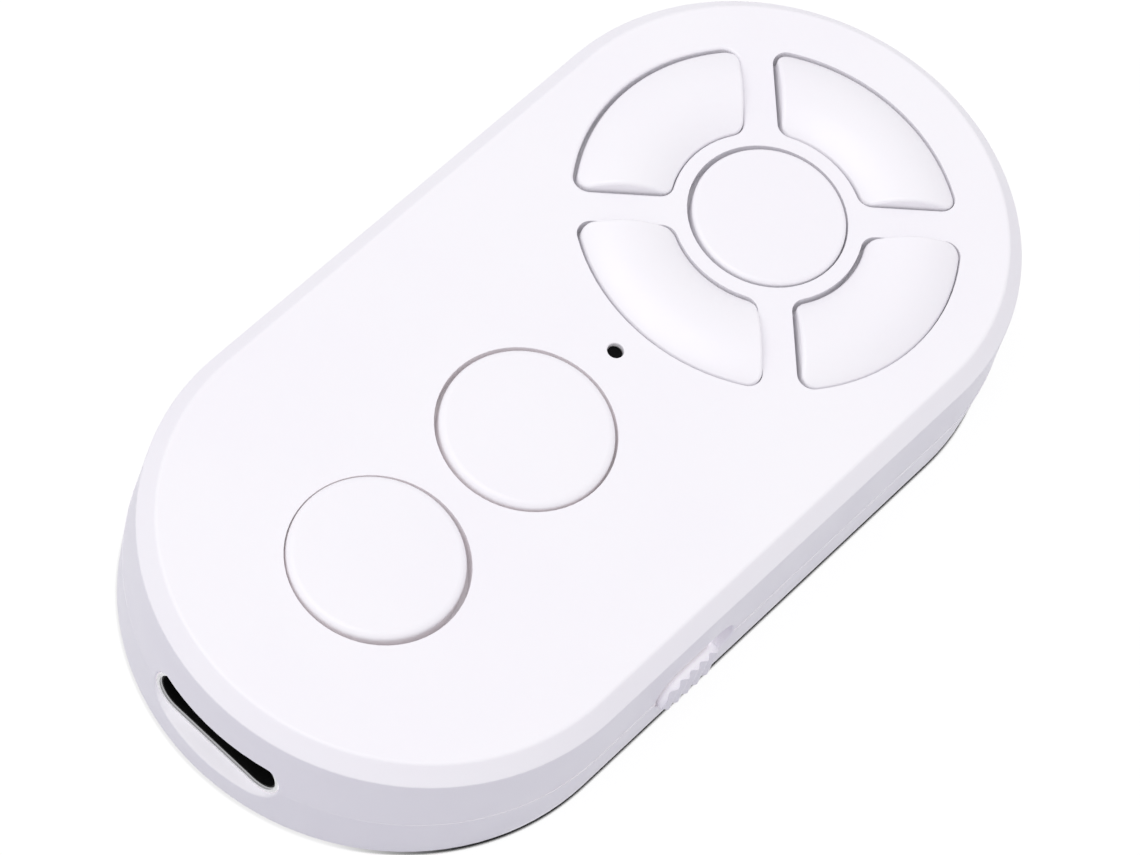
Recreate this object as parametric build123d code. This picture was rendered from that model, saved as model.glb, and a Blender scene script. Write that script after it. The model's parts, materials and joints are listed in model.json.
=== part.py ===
from build123d import *
import math
import os

os.makedirs("parts", exist_ok=True)

# Seven-button Bluetooth remote, sizes in millimetres.
# The origin is the middle of the underside. +Z is up, +Y runs toward the button ring,
# the charging socket is at the -Y end and the slider is on the +X side.

# Body outline
seam_radius = 15.0
end_offset = 14.9
body_height = 9.3
seam_below_socket_middle = 0.13
top_edge_inset = 0.225
bottom_edge_inset = 0.16
rim_chamfer_width = 0.95
rim_chamfer_height = 0.97
rim_inner_round = 0.3
rim_outer_round = 0.12
bottom_edge_round = 0.4
seam_step = 0.05

# Walls and the lap joint between the covers
wall_thickness = 1.6
plate_thickness = 1.2
floor_thickness = 1.2
lap_thickness = 0.65
lap_height = 1.0
lap_gap = 0.1
bead_radius = 0.25
bead_length = 2.4
bead_gap = 0.06
bead_slot_gap = 0.6
bead_ring_setback = 5.64

# Button openings in the plate, spaced one after another from the ring down the middle line
ring_setback = 0.26
ring_outer_radius = 11.2
ring_inner_radius = 5.52
spoke_width = 1.95
sector_corner_radius = 0.9
center_wall = 0.88
ring_to_indicator = 1.82
indicator_to_round = 2.29
round_hole_radius = 5.1
round_to_round = 1.69
opening_edge_round = 0.2
opening_lip_round = 0.1

# Buttons
ring_button_gap = 0.15
round_button_gap = 0.2
button_lip = 0.35
button_flange_thickness = 0.55
flange_gap = 0.08
button_travel = 0.25
sector_crown_rise = 0.8
sector_edge_drop = 0.15
sector_edge_round = 0.2
round_rim_rise = 0.3
round_edge_round = 0.4
center_rim_rise = 0.2
center_edge_round = 0.25
dome_rise = 0.1
stem_radius = 1.0
stem_length = 0.1

# How far the buttons sit off the middle of their openings
ring_play = (0.08, 0.04)
center_play = (0.1, 0)
upper_round_play = (0.05, 0)
lower_round_play = (-0.13, 0)

# Indicator window
indicator_hole_radius = 0.47
indicator_edge_round = 0.08
indicator_gap = 0.05
indicator_recess = 0.3
indicator_flange_radius = 0.85
indicator_flange_thickness = 0.4

# Switches under the buttons
switch_size = 4.5
switch_height = 0.55
switch_floor = 0.12
plunger_radius = 1.1
plunger_gap = 0.1
plunger_rise = 0.26

# Circuit board
board_thickness = 0.8
board_edge_gap = 0.5
screw_wall_gap = 3.9
screw_below_indicator = 0.62
screw_switch_gap = 0.32
screw_radius = 0.6
screw_head_radius = 1.1
screw_head_height = 0.55
screw_cross_length = 1.4
screw_cross_width = 0.28
screw_cross_depth = 0.3
screw_length = 1.8
screw_gap = 0.03
boss_radius = 1.6
post_radius = 1.3
post_x = 7.0
post_setback = 3.6
post_antenna_gap = 0.8

# Charging socket
socket_width = 8.94
socket_height = 3.26
socket_length = 7.3
socket_wall = 0.2
socket_corner_gap = 0.02
socket_setback = 0.8
socket_opening_gap_x = 0.06
socket_opening_gap_z = 0.1
socket_lip_angle = 36.0
socket_brow = 0.28
socket_face_gap = 0.05
liner_wall = 0.1
liner_recess = 0.15
tongue_width = 6.7
tongue_thickness = 0.7
tongue_recess = 0.9
tongue_base_length = 2.0
contact_pitch = 0.5
contact_width = 0.25
contact_length = 2.6
contact_thickness = 0.05
contact_count = 12
contact_setback = 0.4
leg_width = 1.1
leg_rise = 0.3
leg_slot_gap = 0.1
leg_rows = (3.3, 6.3)
cradle_width = 5.0
cradle_length = 4.0

# Slider on the side
slot_below_upper_round = 1.08
slot_length = 6.45
slot_height = 3.15
slot_drop = 0.08
knob_length = 4.8
knob_gap = 0.1
knob_end_gap = 0.075
knob_peak_rise = 0.52
knob_valley_rise = 0.21
knob_rib_pitch = 0.8
knob_rib_count = 5
knob_rib_round = 0.15
knob_end_round = 0.08
knob_flange_thickness = 0.55
knob_flange_overlap = 0.25
knob_flange_gap = 0.1
lever_width = 1.3
lever_thickness = 0.6
lever_length = 2.3
lever_gap = 0.05
lever_channel_gap = 0.1
lever_depth_in_knob = 0.95
lever_drop = 0.7
slide_body_length = 6.7
slide_body_width = 2.7
slide_body_height = 1.4
slide_body_clearance = 0.45
notch_gap = 0.25

# Battery, which fills the bay between the socket, the slide switch and the radio chip
battery_round = 0.9
battery_socket_gap = 3.1
battery_tape_thickness = 0.2
battery_top_room = 0.3
tape_margin = 2.0
bay_rib_gap = 0.15
bay_switch_gap = 0.15
bay_rib_thickness = 0.8
bay_rib_height = 1.2
bay_rib_length = 10.0
pack_board_width = 9.0
pack_board_thickness = 0.8
pack_board_margin = 0.5
lead_radius = 0.35
lead_x = 2.0
lead_run = 1.6
lead_bend = 1.0
lead_chip_gap = 0.75

# Small parts on the underside of the board, some placed from the middle of the radio chip
# and some from the back of the charging socket
chip_size = 5.0
chip_height = 0.8
chip_post_gap = 1.5
crystal_size = (3.2, 2.5, 0.6)
crystal_from_chip = (5.4, -2.7)
charger_size = (2.9, 1.6, 0.6)
charger_from_socket = (-7.0, 1.6)
capacitor_size = (1.6, 0.8, 0.5)
capacitors_from_chip = ((-5.2, -1.9), (-5.2, -3.7))
capacitors_from_socket = ((7.2, 1.2), (7.2, 2.8), (-7.0, 4.2))
resistor_size = (1.0, 0.5, 0.35)
resistors_from_chip = ((-4.6, -5.7), (-2.6, -5.7), (2.6, -5.7), (9.6, -9.3), (9.6, -7.7), (-9.6, -7.7))
led_size = (1.6, 0.8, 0.6)
antenna_width = 0.5
antenna_thickness = 0.05
antenna_span = 8.0
antenna_depth = 2.2
antenna_legs = 6
antenna_margin = 0.9

# Levels and outlines that follow from the sizes above
inner_radius = seam_radius - wall_thickness
top_end_offset = end_offset + seam_step
top_edge_radius = seam_radius - top_edge_inset
bottom_radius = seam_radius - bottom_edge_inset
top_edge_z = body_height - rim_chamfer_height
plate_underside = body_height - plate_thickness
flange_top = plate_underside - flange_gap
flange_bottom = flange_top - button_flange_thickness
plunger_top = flange_bottom - stem_length
switch_top = plunger_top - plunger_rise
board_top = switch_top - switch_height
board_bottom = board_top - board_thickness
board_radius = inner_radius - board_edge_gap
port_z = board_bottom - socket_height / 2
seam_height = port_z - seam_below_socket_middle
lap_radius = inner_radius + lap_thickness
ring_y = end_offset - ring_setback
sector_mid_radius = (ring_outer_radius + ring_inner_radius) / 2
center_hole_radius = ring_inner_radius - center_wall
indicator_y = ring_y - ring_outer_radius - ring_to_indicator
upper_round_y = indicator_y - indicator_to_round - round_hole_radius
lower_round_y = upper_round_y - 2 * round_hole_radius - round_to_round
slot_y = upper_round_y - slot_below_upper_round
bead_rows = (slot_y - slot_length / 2 - bead_slot_gap - bead_length / 2, ring_y - bead_ring_setback)
screw_x = inner_radius - screw_wall_gap
upper_screw_y = indicator_y - screw_below_indicator
lower_screw_y = slot_y - slide_body_length / 2 - screw_switch_gap - screw_head_radius
socket_front_y = -(end_offset + seam_radius) + socket_setback
socket_back_y = socket_front_y + socket_length
brow_back_y = socket_front_y - socket_face_gap
knob_travel = slot_length - knob_length - 2 * knob_end_gap
knob_y = slot_y - knob_travel / 2
knob_height = slot_height - 2 * knob_gap
slot_z = port_z - slot_drop
knob_flange_outer = inner_radius - knob_flange_gap
knob_flange_inner = knob_flange_outer - knob_flange_thickness
knob_flange_length = slot_length + knob_travel + knob_flange_overlap
lever_z = board_bottom - lever_drop
lever_tip = knob_flange_inner + lever_depth_in_knob
slide_body_x1 = knob_flange_inner - slide_body_clearance
slide_body_x0 = slide_body_x1 - slide_body_width
antenna_y1 = end_offset + board_radius - antenna_margin
antenna_y0 = antenna_y1 - antenna_depth
end_post_y = antenna_y0 - post_antenna_gap - post_radius
post_y = end_post_y - post_setback
chip_y = end_post_y - post_radius - chip_post_gap - chip_size / 2
lead_y = chip_y - chip_size / 2 - lead_chip_gap - lead_radius
pack_board_y1 = lead_y - lead_run
battery_y0 = socket_back_y + battery_socket_gap
battery_y1 = pack_board_y1 - pack_board_thickness
battery_mid_y = (battery_y0 + battery_y1) / 2
battery_half_width = slide_body_x0 - bay_switch_gap - bay_rib_thickness - bay_rib_gap
battery_bottom = floor_thickness + battery_tape_thickness
battery_top = board_bottom - screw_head_height - battery_top_room

ring_angles = {"right": 0, "up": 90, "left": 180, "down": 270}
sides = (1, -1)

# Cutting blocks reach this far past the faces that they open
overshoot = 2.0
tolerance = 0.01


def stadium(z, radius, run=end_offset):
    """The long outline with half-round ends centred at plus and minus run, drawn at height z."""
    return Plane.XY.offset(z) * SlotCenterToCenter(2 * run, 2 * radius, rotation=90)


def straight(z0, z1, radius):
    """An upright block on the long outline."""
    return extrude(stadium(z0, radius), amount=z1 - z0)


def drafted(z0, radius0, z1, radius1, run=end_offset):
    """A block on the long outline whose sides lean from one radius to the other."""
    lean = math.degrees(math.atan((radius0 - radius1) / abs(z1 - z0)))
    return extrude(stadium(z0, radius0, run), amount=z1 - z0, taper=lean)


def block(x0, x1, y0, y1, z0, z1):
    """A box between six limits."""
    return Pos((x0 + x1) / 2, (y0 + y1) / 2, (z0 + z1) / 2) * Box(x1 - x0, y1 - y0, z1 - z0)


def disc(x, y, z0, z1, radius):
    """An upright cylinder between two heights."""
    return Pos(x, y, (z0 + z1) / 2) * Cylinder(radius, z1 - z0)


def pill_along_y(width, height, y0, y1):
    """A bar with half-round sides running along Y at the socket height."""
    start = Plane(origin=(0, y0, port_z), x_dir=(1, 0, 0), z_dir=(0, 1, 0))
    return extrude(start * SlotOverall(width, height), amount=y1 - y0)


def pill_along_x(y, length, height, x0, x1):
    """A bar with half-round ends running along X at the slot height."""
    start = Plane(origin=(x0, y, slot_z), x_dir=(0, 1, 0), z_dir=(1, 0, 0))
    return extrude(start * SlotOverall(length, height), amount=x1 - x0)


def sector_outline(grow):
    """One quarter of the ring with rounded corners, grown or shrunk all round."""
    reach = 2 * ring_outer_radius
    apex = spoke_width / 2 * math.sqrt(2)
    wedge = Polygon((apex, 0), (apex + reach, -reach), (apex + reach, reach), align=None)
    quarter = (Circle(ring_outer_radius) - Circle(ring_inner_radius)) & wedge
    quarter = fillet(quarter.vertices(), sector_corner_radius)
    if grow != 0:
        quarter = offset(quarter, amount=grow, kind=Kind.ARC)
    return quarter


def sector_block(angle, grow, z0, z1):
    """The quarter outline turned to its place and given a height."""
    place = Pos(0, ring_y, z0) * Rot(0, 0, angle)
    return extrude(place * sector_outline(grow), amount=z1 - z0)


def ring_point(angle):
    """The middle of one ring button, seen from above."""
    turn = math.radians(angle)
    return (sector_mid_radius * math.cos(turn), ring_y + sector_mid_radius * math.sin(turn))


def top_face(body):
    """The highest level face of a body."""
    return body.faces().filter_by(Axis.Z).sort_by(Axis.Z)[-1]


def level_edges(body, height):
    """The edges whose middle lies at one height."""
    return body.edges().filter_by_position(Axis.Z, height - tolerance, height + tolerance)


def lip_edges(cover):
    """The outer edges of the socket opening and of the slider opening in a cover."""
    edges = []
    for edge in cover.edges():
        box = edge.bounding_box()
        across = max(abs(box.min.X), abs(box.max.X))
        along = max(abs(box.min.Y - slot_y), abs(box.max.Y - slot_y))
        in_socket = box.max.Y < socket_front_y - tolerance and across < socket_width
        # The back and the ends of the brow stay sharp
        in_socket = in_socket and box.size.X > tolerance and box.size.Y > tolerance
        in_slot = box.min.X > bottom_radius - tolerance and along < slot_length / 2 + tolerance
        if in_socket or in_slot:
            edges.append(edge)
    return edges


def soften_top(body, radius):
    """Round the edges of a button that lie above the underside of the plate."""
    edges = [edge for edge in body.edges() if edge.bounding_box().min.Z > plate_underside]
    return fillet(edges, radius)


def under_board(size, place):
    """A small part hanging under the circuit board."""
    long_side, short_side, height = size
    return Pos(place[0], place[1], board_bottom - height / 2) * Box(long_side, short_side, height)


def from_chip(step):
    """A place on the board, given as a step from the middle of the radio chip."""
    return (step[0], chip_y + step[1])


def from_socket(step):
    """A place on the board, given as a step from the back of the charging socket."""
    return (step[0], socket_back_y + step[1])


def save(shape, name):
    """Write one piece, kept as a single solid or a plain group of solids."""
    solids = shape.solids()
    piece = solids[0] if len(solids) == 1 else Compound(children=list(solids))
    piece.label = name
    export_step(piece, "parts/" + name + ".step")


# Openings that pass through the side walls. The wall hangs down a little in front of the socket,
# as a brow over its top edge.
opening_width = socket_width + 2 * socket_opening_gap_x
opening_height = socket_height + 2 * socket_opening_gap_z
opening_front_y = -(end_offset + seam_radius + overshoot)
opening_back_y = -(end_offset + inner_radius) + overshoot
socket_opening = pill_along_y(opening_width, opening_height, opening_front_y, opening_back_y)
socket_opening -= block(
    -opening_width / 2,
    opening_width / 2,
    opening_front_y,
    brow_back_y,
    port_z + opening_height / 2 - socket_brow,
    port_z + opening_height / 2,
)
slot_opening = pill_along_x(
    slot_y,
    slot_length,
    slot_height,
    inner_radius - overshoot,
    seam_radius + overshoot,
)

# The lower lip of the socket opening flares out from the face of the socket
lip_start = Plane(origin=(0, socket_front_y, port_z), x_dir=(1, 0, 0), z_dir=(0, -1, 0))
socket_lip = extrude(
    lip_start * SlotOverall(opening_width, opening_height),
    amount=socket_setback + overshoot,
    taper=-socket_lip_angle,
)

# Top cover, narrower than the bottom cover at the seam by one step on each long side but as long
top_cover = drafted(seam_height, seam_radius - seam_step, top_edge_z, top_edge_radius, top_end_offset)
top_cover += drafted(top_edge_z, top_edge_radius, body_height, top_edge_radius - rim_chamfer_width,
                     top_end_offset)
top_cover = fillet(level_edges(top_cover, top_edge_z), rim_outer_round)
top_cover = fillet(top_face(top_cover).edges(), rim_inner_round)
top_cover -= straight(seam_height, plate_underside, inner_radius)
top_cover -= straight(seam_height, seam_height + lap_height + lap_gap, lap_radius + lap_gap)
for angle in ring_angles.values():
    top_cover -= sector_block(angle, 0, plate_underside, body_height)
top_cover -= disc(0, ring_y, plate_underside, body_height, center_hole_radius)
top_cover -= disc(0, upper_round_y, plate_underside, body_height, round_hole_radius)
top_cover -= disc(0, lower_round_y, plate_underside, body_height, round_hole_radius)
for opening in top_face(top_cover).inner_wires():
    top_cover = fillet(opening.edges(), opening_edge_round)
top_cover -= disc(0, indicator_y, plate_underside, body_height, indicator_hole_radius)
indicator_rim = top_face(top_cover).inner_wires().sort_by(SortBy.LENGTH)[0]
top_cover = fillet(indicator_rim.edges(), indicator_edge_round)
screw_places = [(side * screw_x, row) for side in sides for row in (upper_screw_y, lower_screw_y)]
for x, y in screw_places:
    top_cover += disc(x, y, board_top, plate_underside, boss_radius)
    top_cover -= disc(x, y, board_top, board_top + screw_length, screw_radius + screw_gap)
bead_z = seam_height + lap_height / 2
for side in sides:
    for row in bead_rows:
        groove = Rot(90, 0, 0) * Cylinder(bead_radius + bead_gap, bead_length + 2 * lap_gap)
        top_cover -= Pos(side * lap_radius, row, bead_z) * groove
top_cover -= socket_opening
top_cover -= slot_opening
top_cover = fillet(lip_edges(top_cover), opening_lip_round)
save(top_cover, "top_cover")

# Bottom cover
bottom_cover = drafted(seam_height, seam_radius, 0, bottom_radius)
bottom_cover = fillet(level_edges(bottom_cover, 0), bottom_edge_round)
bottom_cover += straight(seam_height, seam_height + lap_height, lap_radius)
bottom_cover -= straight(floor_thickness, seam_height + lap_height, inner_radius)
for side in sides:
    for row in bead_rows:
        bead = Rot(90, 0, 0) * Cylinder(bead_radius, bead_length)
        bead = Pos(side * lap_radius, row, bead_z) * bead
        bottom_cover += bead
        bottom_cover -= straight(floor_thickness, seam_height + lap_height, inner_radius)
bottom_cover += disc(post_x, post_y, floor_thickness, board_bottom, post_radius)
bottom_cover += disc(-post_x, post_y, floor_thickness, board_bottom, post_radius)
bottom_cover += disc(0, end_post_y, floor_thickness, board_bottom, post_radius)
cradle_y = (socket_front_y + socket_back_y) / 2
bottom_cover += block(
    -cradle_width / 2,
    cradle_width / 2,
    cradle_y - cradle_length / 2,
    cradle_y + cradle_length / 2,
    floor_thickness,
    port_z - socket_height / 2,
)
for side in sides:
    rib_x = side * (battery_half_width + bay_rib_gap + bay_rib_thickness / 2)
    bottom_cover += block(
        rib_x - bay_rib_thickness / 2,
        rib_x + bay_rib_thickness / 2,
        battery_mid_y - bay_rib_length / 2,
        battery_mid_y + bay_rib_length / 2,
        floor_thickness,
        floor_thickness + bay_rib_height,
    )
bottom_cover -= socket_opening
bottom_cover -= socket_lip
bottom_cover -= slot_opening
bottom_cover = fillet(lip_edges(bottom_cover), opening_lip_round)
save(bottom_cover, "bottom_cover")

# Ring buttons, each a slice of a ring with a bulging crown
crown_chord = (ring_outer_radius - ring_inner_radius) / 2 - ring_button_gap
crown_sag = sector_crown_rise + sector_edge_drop
crown_radius = (crown_chord**2 + crown_sag**2) / (2 * crown_sag)
crown_peak = body_height + sector_crown_rise
crown_ring = Pos(0, ring_y, crown_peak - crown_radius) * Torus(sector_mid_radius, crown_radius)
for name, angle in ring_angles.items():
    button = sector_block(angle, -ring_button_gap, flange_top, crown_peak + overshoot) & crown_ring
    button = soften_top(button, sector_edge_round)
    button += sector_block(angle, button_lip, flange_bottom, flange_top)
    x, y = ring_point(angle)
    button += disc(x, y, plunger_top, flange_bottom, stem_radius)
    save(Pos(*ring_play) * button, name + "_button")


def round_button(y, play, hole_radius, rim_rise, edge_round):
    """A round button with a slight dome, a retaining flange and a short stem."""
    radius = hole_radius - round_button_gap
    rim_z = body_height + rim_rise
    dome_radius = (radius**2 + dome_rise**2) / (2 * dome_rise)
    dome = Pos(0, y, rim_z + dome_rise - dome_radius) * Sphere(dome_radius)
    button = disc(0, y, flange_top, rim_z + overshoot, radius) & dome
    button = soften_top(button, edge_round)
    button += disc(0, y, flange_bottom, flange_top, hole_radius + button_lip)
    button += disc(0, y, plunger_top, flange_bottom, stem_radius)
    return Pos(*play) * button


center_button = round_button(ring_y, center_play, center_hole_radius, center_rim_rise,
                             center_edge_round)
save(center_button, "center_button")
upper_round_button = round_button(upper_round_y, upper_round_play, round_hole_radius,
                                  round_rim_rise, round_edge_round)
save(upper_round_button, "upper_round_button")
lower_round_button = round_button(lower_round_y, lower_round_play, round_hole_radius,
                                  round_rim_rise, round_edge_round)
save(lower_round_button, "lower_round_button")

# Switches and their plungers
switch_places = {name: ring_point(angle) for name, angle in ring_angles.items()}
switch_places["center"] = (0, ring_y)
switch_places["upper_round"] = (0, upper_round_y)
switch_places["lower_round"] = (0, lower_round_y)
plunger_bottom = board_top + switch_floor + button_travel + plunger_gap / 2
for name, (x, y) in switch_places.items():
    half = switch_size / 2
    switch = block(x - half, x + half, y - half, y + half, board_top, switch_top)
    switch -= disc(x, y, board_top + switch_floor, switch_top, plunger_radius + plunger_gap)
    save(switch, name + "_switch")
    plunger = disc(x, y, plunger_bottom, plunger_top, plunger_radius)
    save(plunger, name + "_plunger")

# Indicator window and its lamp
window = disc(0, indicator_y, board_top + led_size[2], body_height - indicator_recess,
              indicator_hole_radius - indicator_gap)
window += disc(0, indicator_y, plate_underside - indicator_flange_thickness, plate_underside,
               indicator_flange_radius)
save(window, "indicator_window")
led = Pos(0, indicator_y, board_top + led_size[2] / 2) * Box(*led_size)
save(led, "indicator_led")

# Circuit board
board = straight(board_bottom, board_top, board_radius)
for x, y in screw_places:
    board -= disc(x, y, board_bottom, board_top, screw_radius + screw_gap)
notch_reach = knob_flange_length / 2 + notch_gap
board -= block(
    knob_flange_inner - notch_gap,
    seam_radius,
    knob_y - notch_reach,
    knob_y + knob_travel + notch_reach,
    board_bottom,
    board_top,
)
leg_x = socket_width / 2 - socket_wall / 2
for side in sides:
    for row in leg_rows:
        leg_y = socket_front_y + row
        board -= block(
            side * leg_x - socket_wall / 2 - leg_slot_gap,
            side * leg_x + socket_wall / 2 + leg_slot_gap,
            leg_y - leg_width / 2 - leg_slot_gap,
            leg_y + leg_width / 2 + leg_slot_gap,
            board_bottom,
            board_top,
        )
save(board, "circuit_board")

# Board screws
screws = []
for x, y in screw_places:
    screw = disc(x, y, board_bottom, board_top + screw_length - screw_gap, screw_radius)
    screw += disc(x, y, board_bottom - screw_head_height, board_bottom, screw_head_radius)
    cross_z = board_bottom - screw_head_height + screw_cross_depth / 2
    for turn in (0, 90):
        cross = Rot(0, 0, turn) * Box(screw_cross_length, screw_cross_width, screw_cross_depth)
        screw -= Pos(x, y, cross_z) * cross
    screws.append(screw)
save(Compound(children=[screw.solids()[0] for screw in screws]), "board_screws")

# Charging socket shell
socket = pill_along_y(socket_width, socket_height, socket_front_y, socket_back_y)
socket -= pill_along_y(socket_width - 2 * socket_wall, socket_height - 2 * socket_wall,
                       socket_front_y, socket_back_y - socket_wall)
for side in sides:
    for row in leg_rows:
        leg_y = socket_front_y + row
        socket += block(
            side * leg_x - socket_wall / 2,
            side * leg_x + socket_wall / 2,
            leg_y - leg_width / 2,
            leg_y + leg_width / 2,
            port_z,
            board_top + leg_rise,
        )
save(socket, "socket_shell")

# Socket liner and tongue, one moulding
liner_gap = 2 * (socket_wall + socket_corner_gap)
liner_front = socket_front_y + liner_recess
liner_back = socket_back_y - socket_wall
tongue = pill_along_y(socket_width - liner_gap, socket_height - liner_gap, liner_front, liner_back)
tongue -= pill_along_y(socket_width - liner_gap - 2 * liner_wall,
                       socket_height - liner_gap - 2 * liner_wall,
                       liner_front, liner_back - tongue_base_length)
tongue += block(
    -tongue_width / 2,
    tongue_width / 2,
    socket_front_y + tongue_recess,
    liner_back - tongue_base_length / 2,
    port_z - tongue_thickness / 2,
    port_z + tongue_thickness / 2,
)
save(tongue, "socket_tongue")

# Gold contacts on both faces of the tongue
contacts = []
contact_y0 = socket_front_y + tongue_recess + contact_setback
for face in sides:
    for index in range(contact_count):
        x = (index - (contact_count - 1) / 2) * contact_pitch
        z = port_z + face * (tongue_thickness / 2 + contact_thickness / 2)
        contacts.append(block(
            x - contact_width / 2,
            x + contact_width / 2,
            contact_y0,
            contact_y0 + contact_length,
            z - contact_thickness / 2,
            z + contact_thickness / 2,
        ).solids()[0])
save(Compound(children=contacts), "socket_contacts")

# Slider knob: ribbed outside, a wide flange inside, a pocket for the switch lever
knob_end = knob_length / 2
peak_x = seam_radius + knob_peak_rise
valley_x = seam_radius + knob_valley_rise
profile = [(knob_flange_inner, knob_y - knob_end), (peak_x, knob_y - knob_end)]
for index in range(knob_rib_count):
    rib_y = knob_y + (index - (knob_rib_count - 1) / 2) * knob_rib_pitch
    profile.append((valley_x, rib_y - knob_rib_pitch / 2))
    profile.append((peak_x, rib_y))
profile.append((seam_radius, knob_y + knob_end))
profile.append((knob_flange_inner, knob_y + knob_end))
outline = Polygon(*profile, align=None)
raised = [corner for corner in outline.vertices() if corner.X > seam_radius + tolerance]
raised = ShapeList(raised).sort_by(Axis.Y)
outline = fillet(raised[1:], knob_rib_round)
end_corner = ShapeList(outline.vertices()).filter_by_position(
    Axis.X, peak_x - tolerance, peak_x + tolerance).sort_by(Axis.Y)[0]
outline = fillet(end_corner, knob_end_round)
knob = extrude(Pos(0, 0, slot_z - knob_height / 2) * outline, amount=knob_height)
knob &= pill_along_x(knob_y, knob_length, knob_height, knob_flange_inner, seam_radius + overshoot)
flange_half = slot_height / 2 + knob_flange_overlap
knob += block(
    knob_flange_inner,
    knob_flange_outer,
    knob_y - knob_flange_length / 2,
    knob_y + knob_flange_length / 2,
    slot_z - flange_half,
    slot_z + flange_half,
)
knob -= block(
    knob_flange_inner,
    lever_tip + lever_gap,
    knob_y - lever_width / 2 - lever_gap,
    knob_y + lever_width / 2 + lever_gap,
    lever_z - lever_thickness / 2 - lever_gap,
    lever_z + lever_thickness / 2 + lever_gap,
)
save(knob, "slider_knob")

# Slide switch and its lever
slide_y = knob_y + knob_travel / 2
slide_body = block(
    slide_body_x0,
    slide_body_x1,
    slide_y - slide_body_length / 2,
    slide_y + slide_body_length / 2,
    board_bottom - slide_body_height,
    board_bottom,
)
channel_reach = (lever_width + knob_travel) / 2 + lever_channel_gap
slide_body -= block(
    lever_tip - lever_length - lever_channel_gap,
    slide_body_x1,
    slide_y - channel_reach,
    slide_y + channel_reach,
    lever_z - lever_thickness / 2 - lever_channel_gap,
    lever_z + lever_thickness / 2 + lever_channel_gap,
)
save(slide_body, "slide_switch")
lever = block(
    lever_tip - lever_length,
    lever_tip,
    knob_y - lever_width / 2,
    knob_y + lever_width / 2,
    lever_z - lever_thickness / 2,
    lever_z + lever_thickness / 2,
)
save(lever, "slide_switch_lever")

# Battery, its tape, its small board and its leads
cell = block(-battery_half_width, battery_half_width, battery_y0, battery_y1, battery_bottom, battery_top)
cell = fillet(cell.edges().filter_by(Axis.Y), battery_round)
save(cell, "battery_cell")
tape = block(
    -battery_half_width + tape_margin,
    battery_half_width - tape_margin,
    battery_y0 + tape_margin,
    battery_y1 - tape_margin,
    floor_thickness,
    battery_bottom,
)
save(tape, "battery_tape")
pack_board_z0 = battery_bottom + pack_board_margin
pack_board_z1 = battery_top - pack_board_margin
pack_board = block(-pack_board_width / 2, pack_board_width / 2, battery_y1, pack_board_y1,
                   pack_board_z0, pack_board_z1)
save(pack_board, "battery_board")
lead_z = (pack_board_z0 + pack_board_z1) / 2
for name, side in (("red_lead", -1), ("black_lead", 1)):
    start = (side * lead_x, pack_board_y1, lead_z)
    turn_low = (side * lead_x, lead_y, lead_z)
    turn_high = (side * lead_x, lead_y, board_bottom)
    run = FilletPolyline(start, turn_low, turn_high, radius=lead_bend)
    section = Plane(origin=start, z_dir=(0, 1, 0)) * Circle(lead_radius)
    save(sweep(section, path=run), name)

# Small parts on the underside of the board
chip = under_board((chip_size, chip_size, chip_height), (0, chip_y))
save(chip, "radio_chip")
save(under_board(crystal_size, from_chip(crystal_from_chip)), "crystal")
save(under_board(charger_size, from_socket(charger_from_socket)), "charger_chip")
capacitor_places = [from_chip(step) for step in capacitors_from_chip]
capacitor_places += [from_socket(step) for step in capacitors_from_socket]
capacitors = [under_board(capacitor_size, place).solids()[0] for place in capacitor_places]
save(Compound(children=capacitors), "capacitors")
resistor_places = [from_chip(step) for step in resistors_from_chip]
resistors = [under_board(resistor_size, place).solids()[0] for place in resistor_places]
save(Compound(children=resistors), "resistors")

# Folded antenna track under the ring end of the board
antenna_z0 = board_bottom - antenna_thickness
leg_step = (antenna_span - antenna_width) / (antenna_legs - 1)
antenna = None
for index in range(antenna_legs):
    x = -antenna_span / 2 + antenna_width / 2 + index * leg_step
    upright = block(x - antenna_width / 2, x + antenna_width / 2, antenna_y0, antenna_y1,
                    antenna_z0, board_bottom)
    antenna = upright if antenna is None else antenna + upright
    if index < antenna_legs - 1:
        far = index % 2 == 0
        link_y0 = antenna_y1 - antenna_width if far else antenna_y0
        antenna += block(x, x + leg_step, link_y0, link_y0 + antenna_width, antenna_z0, board_bottom)
save(antenna, "antenna_track")
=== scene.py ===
import bpy
import json
import math
from mathutils import Matrix, Vector

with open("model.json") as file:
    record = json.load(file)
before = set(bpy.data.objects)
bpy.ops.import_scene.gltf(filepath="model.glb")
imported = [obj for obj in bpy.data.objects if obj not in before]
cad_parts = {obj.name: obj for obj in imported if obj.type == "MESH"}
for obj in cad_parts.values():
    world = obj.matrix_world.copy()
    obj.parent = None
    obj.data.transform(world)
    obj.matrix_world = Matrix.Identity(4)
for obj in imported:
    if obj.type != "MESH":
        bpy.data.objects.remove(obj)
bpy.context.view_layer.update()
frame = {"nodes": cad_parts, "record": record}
nodes = frame["nodes"]
MM = 0.001


def edges(name, axis):
    """Where a piece begins and ends along an axis, which is 0 for X and 1 for Y."""
    places = [corner[axis] for corner in nodes[name].bound_box]
    return min(places), max(places)


# Places on the part where its looks change
side_x = edges("bottom_cover", 0)[1]
ring_y = edges("down_button", 1)[0]
lone_y = edges("upper_round_button", 1)[1]
socket_y = edges("socket_shell", 1)[0]

# Camera, set where the photograph was taken from, with angles in degrees and lens in millimetres
camera_place = Vector((0.060932, -0.141263, 0.259061))
camera_azimuth = 23.378
camera_elevation = 59.071
camera_roll = 21.685
camera_lens = 168.99
camera_sensor = 36.0
camera_nearest = 0.01
camera_farthest = 10.0

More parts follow.
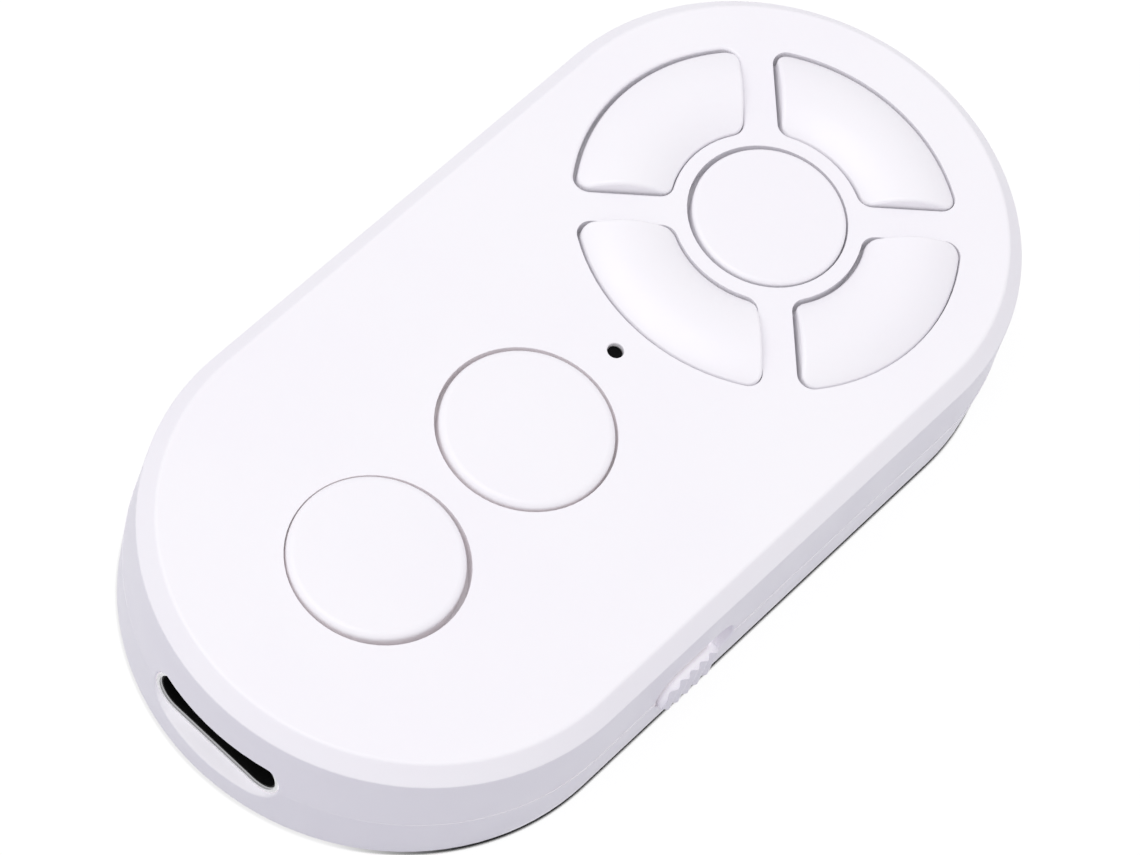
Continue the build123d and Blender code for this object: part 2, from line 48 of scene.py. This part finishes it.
# Light levels: the sky and the floor light the object from all round, the lamp from above, a little
# to the near left
sky_level = 0.785
sky_colour = (0.99, 0.98, 1.0)
floor_level = 0.46
floor_tint = (0.84, 0.835, 1.04)
lamp_level = 0.33
lamp_distance = 1.0
lamp_size = 0.9
lamp_direction = Vector((-0.19, -0.33, 0.92))

# Soft painted light, an emission that lifts the shade in the outer part of the slot on the side.
# Here and below, a pair of openness values says where an effect is full and where it ends.
slot_x = side_x - 0.9 * MM
slot_blend = 0.5 * MM
slot_reach = 1.5 * MM
slot_openness = (0.2, 0.75)
slot_corner_reach = 0.35 * MM
slot_corner_openness = (0.6, 0.95)
slot_painted_light = 0.7

# The same painted light in narrow gaps. Past ring_y it is that of the ring, before lone_y that of the
# two lone buttons, and before socket_y, at the near end wall, that of the socket.
gap_reach = 0.7 * MM
gap_painted_light_openness = (0.2, 0.6)
gap_shade_openness = (0.15, 0.75)
socket_blend = 1.1 * MM
ring_gap_painted_light = 0.035
lone_gap_painted_light = 0.06
socket_gap_painted_light = 0.12
# Painted shade: the darker colours that narrow gaps take by the ring and by the two lone buttons
ring_gap_painted_shade = (0.82, 0.805, 0.84)
lone_gap_painted_shade = (0.84, 0.80, 0.82)
# Painted light on the socket steel in its shaded mouth
mouth_painted_light = 0.62
mouth_openness = (0.7, 1.0)

# Light moulded plastic: noise scales are per metre, and a change of roughness goes to both sides
cover_colour = (0.915, 0.900, 0.938)
flow_scale = 90.0
flow_range = (0.35, 0.65)
flow_tint = (0.992, 0.988, 0.996)
smear_scale = 400.0
smear_change = 0.05
ripple_scale = 220.0
ripple_depth = 1.5e-5
grain_scale = 14000.0
grain_depth = 1.2e-6
plastic_ior = 1.52
scatter_share = 0.08
scatter_colour = (1.0, 0.92, 0.92)
scatter_depth = 0.4 * MM

# Other finishes
tone_range = (0.3, 0.7)
mould_scale = 900.0
mould_tint = (1.35, 1.35, 1.35)
mould_change = 0.06
mould_grain_scale = 12000.0
mould_grain_depth = 2.0e-6
line_scale = 4000.0
line_tint = (0.86, 0.86, 0.86)
line_change = 0.08
line_depth = 1.5e-6
socket_stretch = (1.0, 0.05, 1.0)
gold_stretch = (1.0, 0.1, 1.0)
track_scale = 700.0
track_range = (0.48, 0.52)
track_depth = 1.0e-5
mask_colour = (0.02, 0.16, 0.07)
track_colour = (0.035, 0.24, 0.11)
mask_roughness = 0.3
lens_scale = 1500.0
lens_colour = (0.85, 0.82, 0.6)
lens_cloud_colour = (0.8, 0.78, 0.66)
lens_roughness = 0.15
lens_coat = 0.6

# Floor, with a painted shadow along the line of contact that fades out toward the lit side
floor_radius = 0.6
floor_corners = 128
floor_white = 1.03
floor_shadow_share = 0.12
contact_reach = 0.5 * MM
contact_openness = (0.5, 0.68)
contact_samples = 24
contact_shadow_colour = (0.02, 0.02, 0.021)
contact_start = side_x - 8.0 * MM
contact_full = side_x - 2.0 * MM
contact_away = 0.15


def new_material(name):
    """A new node material, its node tree and its shader."""
    material = bpy.data.materials.new(name)
    material.use_nodes = True
    shader = material.node_tree.nodes["Principled BSDF"]
    return material, material.node_tree, shader


def add(tree, kind, **settings):
    """A new node with its settings."""
    node = tree.nodes.new(kind)
    for key, value in settings.items():
        setattr(node, key, value)
    return node


def join(tree, start, end):
    """Link one socket to another."""
    tree.links.new(start, end)


def noise(tree, scale, detail=2.0, roughness=0.5, stretch=None):
    """Noise fixed to the piece, drawn out into lines along the axes with a small stretch value."""
    place = add(tree, "ShaderNodeTexCoord").outputs["Object"]
    if stretch is not None:
        lines = add(tree, "ShaderNodeMapping")
        lines.inputs["Scale"].default_value = stretch
        join(tree, place, lines.inputs["Vector"])
        place = lines.outputs["Vector"]
    texture = add(tree, "ShaderNodeTexNoise")
    texture.inputs["Scale"].default_value = scale
    texture.inputs["Detail"].default_value = detail
    texture.inputs["Roughness"].default_value = roughness
    join(tree, place, texture.inputs["Vector"])
    return texture.outputs["Fac"]


def position(tree):
    """The place of a point in the piece's own frame, split into its three values."""
    place = add(tree, "ShaderNodeTexCoord")
    split = add(tree, "ShaderNodeSeparateXYZ")
    join(tree, place.outputs["Object"], split.inputs[0])
    return split.outputs


def openness(tree, reach, samples=6):
    """How open a point is within a reach, from 0 in a closed corner to 1 in the clear."""
    node = add(tree, "ShaderNodeAmbientOcclusion", samples=samples)
    node.inputs["Distance"].default_value = reach
    return node.outputs["AO"]


def spread(tree, value, low, high, to_low, to_high):
    """Map one range of a value onto another, smoothly and without overshoot."""
    node = add(tree, "ShaderNodeMapRange", interpolation_type="SMOOTHSTEP")
    node.inputs["From Min"].default_value = low
    node.inputs["From Max"].default_value = high
    node.inputs["To Min"].default_value = to_low
    node.inputs["To Max"].default_value = to_high
    join(tree, value, node.inputs["Value"])
    return node.outputs["Result"]


def combined(tree, operation, first, second):
    """Two values combined by a math operation."""
    node = add(tree, "ShaderNodeMath", operation=operation)
    join(tree, first, node.inputs[0])
    join(tree, second, node.inputs[1])
    return node.outputs[0]


def mixed(tree, share, first, second):
    """Blend two colours, each a socket or a plain colour."""
    node = add(tree, "ShaderNodeMix", data_type="RGBA")
    join(tree, share, node.inputs[0])
    for value, socket in ((first, node.inputs[6]), (second, node.inputs[7])):
        if isinstance(value, bpy.types.NodeSocket):
            join(tree, value, socket)
        else:
            socket.default_value = (*value, 1.0)
    return node.outputs[2]


def blended(tree, share, first, second):
    """Blend two shaders, with the share of the second a socket or a number."""
    node = add(tree, "ShaderNodeMixShader")
    if isinstance(share, bpy.types.NodeSocket):
        join(tree, share, node.inputs[0])
    else:
        node.inputs[0].default_value = share
    join(tree, first, node.inputs[1])
    join(tree, second, node.inputs[2])
    return node.outputs[0]


def toned(tree, value, limits, colour, tint):
    """A colour that drifts to its tinted self over a range of a noise value."""
    share = spread(tree, value, *limits, 0.0, 1.0)
    return mixed(tree, share, colour, tuple(c * t for c, t in zip(colour, tint)))


def roughen(tree, shader, value, roughness, change):
    """Let the roughness drift to both sides with a noise value."""
    drift = spread(tree, value, *tone_range, roughness - change, roughness + change)
    join(tree, drift, shader.inputs["Roughness"])


def bump(tree, shader, layers):
    """Stack bump layers, each a height socket with its depth in metres."""
    normal = None
    for height, depth in layers:
        node = add(tree, "ShaderNodeBump")
        node.inputs["Distance"].default_value = depth
        join(tree, height, node.inputs["Height"])
        if normal is not None:
            join(tree, normal, node.inputs["Normal"])
        normal = node.outputs["Normal"]
    join(tree, normal, shader.inputs["Normal"])


def painted_gap_light(tree, where, gap_openness):
    """Painted light in the narrow gaps, by its place along the body."""
    buttons = spread(tree, where["Y"], lone_y, ring_y, lone_gap_painted_light, ring_gap_painted_light)
    socket = spread(tree, where["Y"], socket_y, socket_y + socket_blend, socket_gap_painted_light, 0.0)
    closed = spread(tree, gap_openness, *gap_painted_light_openness, 1.0, 0.0)
    return combined(tree, "MULTIPLY", combined(tree, "MAXIMUM", buttons, socket), closed)


def painted_slot_light(tree, where):
    """Painted light in the outer part of the side slot, but not in its sharp corners."""
    closed = spread(tree, openness(tree, slot_reach), *slot_openness, slot_painted_light, 0.0)
    off_corner = spread(tree, openness(tree, slot_corner_reach), *slot_corner_openness, 0.0, 1.0)
    hollow = combined(tree, "MULTIPLY", closed, off_corner)
    outer = spread(tree, where["X"], slot_x - slot_blend, slot_x, 0.0, 1.0)
    return combined(tree, "MULTIPLY", hollow, outer)


def light_plastic(name, colour, roughness):
    """Satin moulded plastic: fine grain, faint flow marks, painted shade in its gaps, and painted
    light in its gaps and the side slot.
    """
    material, tree, shader = new_material(name)
    where = position(tree)
    gap_openness = openness(tree, gap_reach)

    base = toned(tree, noise(tree, flow_scale, detail=3.0), flow_range, colour, flow_tint)
    # Painted shade: narrow gaps take the darker gap colour
    lone = spread(tree, where["Y"], lone_y, ring_y, 1.0, 0.0)
    gap_painted_shade = mixed(tree, lone, ring_gap_painted_shade, lone_gap_painted_shade)
    gap_shade_share = spread(tree, gap_openness, *gap_shade_openness, 1.0, 0.0)
    base = mixed(tree, gap_shade_share, base, gap_painted_shade)
    join(tree, base, shader.inputs["Base Color"])
    join(tree, base, shader.inputs["Emission Color"])
    # Painted light: emission in the narrow gaps and the outer part of the side slot
    painted_light = combined(tree, "MAXIMUM", painted_gap_light(tree, where, gap_openness), painted_slot_light(tree, where))
    join(tree, painted_light, shader.inputs["Emission Strength"])

    smear = noise(tree, smear_scale, detail=4.0, roughness=0.6)
    roughen(tree, shader, smear, roughness, smear_change)
    shader.inputs["IOR"].default_value = plastic_ior
    shader.inputs["Subsurface Weight"].default_value = scatter_share
    shader.inputs["Subsurface Radius"].default_value = scatter_colour
    shader.inputs["Subsurface Scale"].default_value = scatter_depth
    ripple = noise(tree, ripple_scale)
    grain = noise(tree, grain_scale, roughness=0.6)
    bump(tree, shader, [(ripple, ripple_depth), (grain, grain_depth)])
    return material


def plain_moulding(name, colour, roughness, shine=0.5):
    """Plain moulding, sleeve or foam of one colour with a fine grain."""
    material, tree, shader = new_material(name)
    tone = noise(tree, mould_scale, detail=3.0)
    join(tree, toned(tree, tone, tone_range, colour, mould_tint), shader.inputs["Base Color"])
    roughen(tree, shader, tone, roughness, mould_change)
    shader.inputs["Specular IOR Level"].default_value = shine
    bump(tree, shader, [(noise(tree, mould_grain_scale), mould_grain_depth)])
    return material


def metal(name, colour, roughness, stretch=None, painted_light=0.0):
    """Plated or drawn metal with fine draw lines, and painted light in a mouth where it is given some.
    """
    material, tree, shader = new_material(name)
    lines = noise(tree, line_scale, detail=3.0, stretch=stretch)
    base = toned(tree, lines, tone_range, colour, line_tint)
    join(tree, base, shader.inputs["Base Color"])
    roughen(tree, shader, lines, roughness, line_change)
    shader.inputs["Metallic"].default_value = 1.0
    # Painted light in the shaded mouth, as emission
    if painted_light > 0.0:
        closed = spread(tree, openness(tree, gap_reach), *mouth_openness, painted_light, 0.0)
        join(tree, base, shader.inputs["Emission Color"])
        join(tree, closed, shader.inputs["Emission Strength"])
    bump(tree, shader, [(lines, line_depth)])
    return material


def board():
    """Green solder mask with faint copper tracks showing as raised lines."""
    material, tree, shader = new_material("board_laminate")
    tracks = spread(tree, noise(tree, track_scale, detail=1.0), *track_range, 0.0, 1.0)
    join(tree, mixed(tree, tracks, mask_colour, track_colour), shader.inputs["Base Color"])
    shader.inputs["Roughness"].default_value = mask_roughness
    bump(tree, shader, [(tracks, track_depth)])
    return material


def lens():
    """Clear pale resin of the indicator lamp."""
    material, tree, shader = new_material("lamp_lens")
    cloud = noise(tree, lens_scale)
    join(tree, mixed(tree, cloud, lens_colour, lens_cloud_colour), shader.inputs["Base Color"])
    shader.inputs["Roughness"].default_value = lens_roughness
    shader.inputs["Coat Weight"].default_value = lens_coat
    return material


# Finishes, one for each material slot of the record, mostly given by a colour and a roughness
finishes = {
    "cover_plastic": light_plastic("cover_plastic", cover_colour, 0.42),
    "button_plastic": light_plastic("button_plastic", cover_colour, 0.38),
    "slider_plastic": light_plastic("slider_plastic", cover_colour, 0.42),
    "window_plastic": plain_moulding("window_plastic", (0.003, 0.003, 0.0035), 0.3, shine=0.04),
    "board_laminate": board(),
    "switch_housing": plain_moulding("switch_housing", (0.05, 0.05, 0.055), 0.5),
    "switch_plunger": plain_moulding("switch_plunger", (0.08, 0.08, 0.085), 0.45),
    "screw_steel": metal("screw_steel", (0.55, 0.55, 0.57), 0.35),
    "socket_steel": metal("socket_steel", (0.72, 0.72, 0.74), 0.32, socket_stretch, mouth_painted_light),
    "socket_plastic": plain_moulding("socket_plastic", (0.004, 0.004, 0.004), 0.5, shine=0.1),
    "contact_gold": metal("contact_gold", (0.83, 0.62, 0.22), 0.3, gold_stretch),
    "cell_foil": metal("cell_foil", (0.75, 0.76, 0.78), 0.4),
    "tape_foam": plain_moulding("tape_foam", (0.12, 0.12, 0.12), 0.85),
    "red_sleeve": plain_moulding("red_sleeve", (0.6, 0.03, 0.03), 0.45),
    "black_sleeve": plain_moulding("black_sleeve", (0.03, 0.03, 0.03), 0.45),
    "lamp_lens": lens(),
    "chip_resin": plain_moulding("chip_resin", (0.04, 0.04, 0.045), 0.55),
    "crystal_can": metal("crystal_can", (0.7, 0.68, 0.6), 0.3),
    "capacitor_body": plain_moulding("capacitor_body", (0.55, 0.42, 0.3), 0.5),
}
for row in frame["record"]["subparts"]:
    piece = nodes[row["node"]]
    piece.data.materials.clear()
    piece.data.materials.append(finishes[row["material_slot"]])


def seen_directly(tree):
    """1 for camera, glossy and transmission rays, and 0 for the diffuse rays that light the scene."""
    rays = add(tree, "ShaderNodeLightPath").outputs
    straight = combined(tree, "MAXIMUM", rays["Is Camera Ray"], rays["Is Glossy Ray"])
    return combined(tree, "MAXIMUM", straight, rays["Is Transmission Ray"])


def make_floor():
    """A round pale floor, white to the camera with a soft shadow and a thin painted shadow along the
    line of contact.
    """
    bpy.ops.mesh.primitive_circle_add(vertices=floor_corners, radius=floor_radius, fill_type="NGON")
    floor = bpy.context.object
    floor.name = "floor"
    material = bpy.data.materials.new("floor")
    material.use_nodes = True
    tree = material.node_tree
    tree.nodes.clear()

    # Painted shadow: dark where the floor is closed in by the body, fading out toward the lit side
    closed = spread(tree, openness(tree, contact_reach, contact_samples), *contact_openness, 1.0, 0.0)
    across = spread(tree, position(tree)["X"], contact_start, contact_full, contact_away, 1.0)
    contact = combined(tree, "MULTIPLY", closed, across)
    shade = mixed(tree, contact, (1.0, 1.0, 1.0), contact_shadow_colour)

    bounce = add(tree, "ShaderNodeBsdfDiffuse")
    bounce.inputs["Color"].default_value = (*(floor_level * c for c in floor_tint), 1.0)
    white = add(tree, "ShaderNodeEmission")
    white.inputs["Strength"].default_value = floor_white
    join(tree, shade, white.inputs["Color"])
    lit = add(tree, "ShaderNodeBsdfDiffuse")
    join(tree, shade, lit.inputs["Color"])
    view = blended(tree, floor_shadow_share, white.outputs[0], lit.outputs[0])
    surface = blended(tree, seen_directly(tree), bounce.outputs[0], view)
    output = add(tree, "ShaderNodeOutputMaterial")
    join(tree, surface, output.inputs["Surface"])
    floor.data.materials.append(material)


def make_world():
    """An even pale sky that the camera sees as plain white."""
    world = bpy.data.worlds.new("studio")
    world.use_nodes = True
    bpy.context.scene.world = world
    tree = world.node_tree
    tree.nodes.clear()
    sky = add(tree, "ShaderNodeBackground")
    sky.inputs["Color"].default_value = (*sky_colour, 1.0)
    sky.inputs["Strength"].default_value = sky_level
    white = add(tree, "ShaderNodeBackground")
    white.inputs["Color"].default_value = (1.0, 1.0, 1.0, 1.0)
    white.inputs["Strength"].default_value = 1.0
    surface = blended(tree, seen_directly(tree), sky.outputs[0], white.outputs[0])
    output = add(tree, "ShaderNodeOutputWorld")
    join(tree, surface, output.inputs["Surface"])


def make_lamp():
    """One large soft lamp, with the power that lets a small lamp light a white card to lamp_level."""
    data = bpy.data.lights.new("soft_lamp", "AREA")
    data.shape = "DISK"
    data.size = lamp_size
    data.energy = lamp_level * math.pi ** 2 * lamp_distance ** 2
    lamp = bpy.data.objects.new("soft_lamp", data)
    bpy.context.scene.collection.objects.link(lamp)
    direction = lamp_direction.normalized()
    lamp.location = direction * lamp_distance
    lamp.rotation_euler = (-direction).to_track_quat("-Z", "Y").to_euler()


def make_camera():
    """The camera at the photograph's place, turned and rolled as it was."""
    data = bpy.data.cameras.new("camera")
    data.sensor_width = camera_sensor
    data.sensor_fit = "HORIZONTAL"
    data.lens = camera_lens
    data.clip_start = camera_nearest
    data.clip_end = camera_farthest
    camera = bpy.data.objects.new("camera", data)
    bpy.context.scene.collection.objects.link(camera)
    turn = Matrix.Rotation(math.radians(camera_azimuth), 4, "Z")
    tilt = Matrix.Rotation(math.radians(90.0 - camera_elevation), 4, "X")
    roll = Matrix.Rotation(math.radians(camera_roll), 4, "Z")
    camera.matrix_world = Matrix.Translation(camera_place) @ turn @ tilt @ roll
    bpy.context.scene.camera = camera


make_floor()
make_world()
make_lamp()
make_camera()
bpy.context.scene.view_settings.view_transform = "Standard"
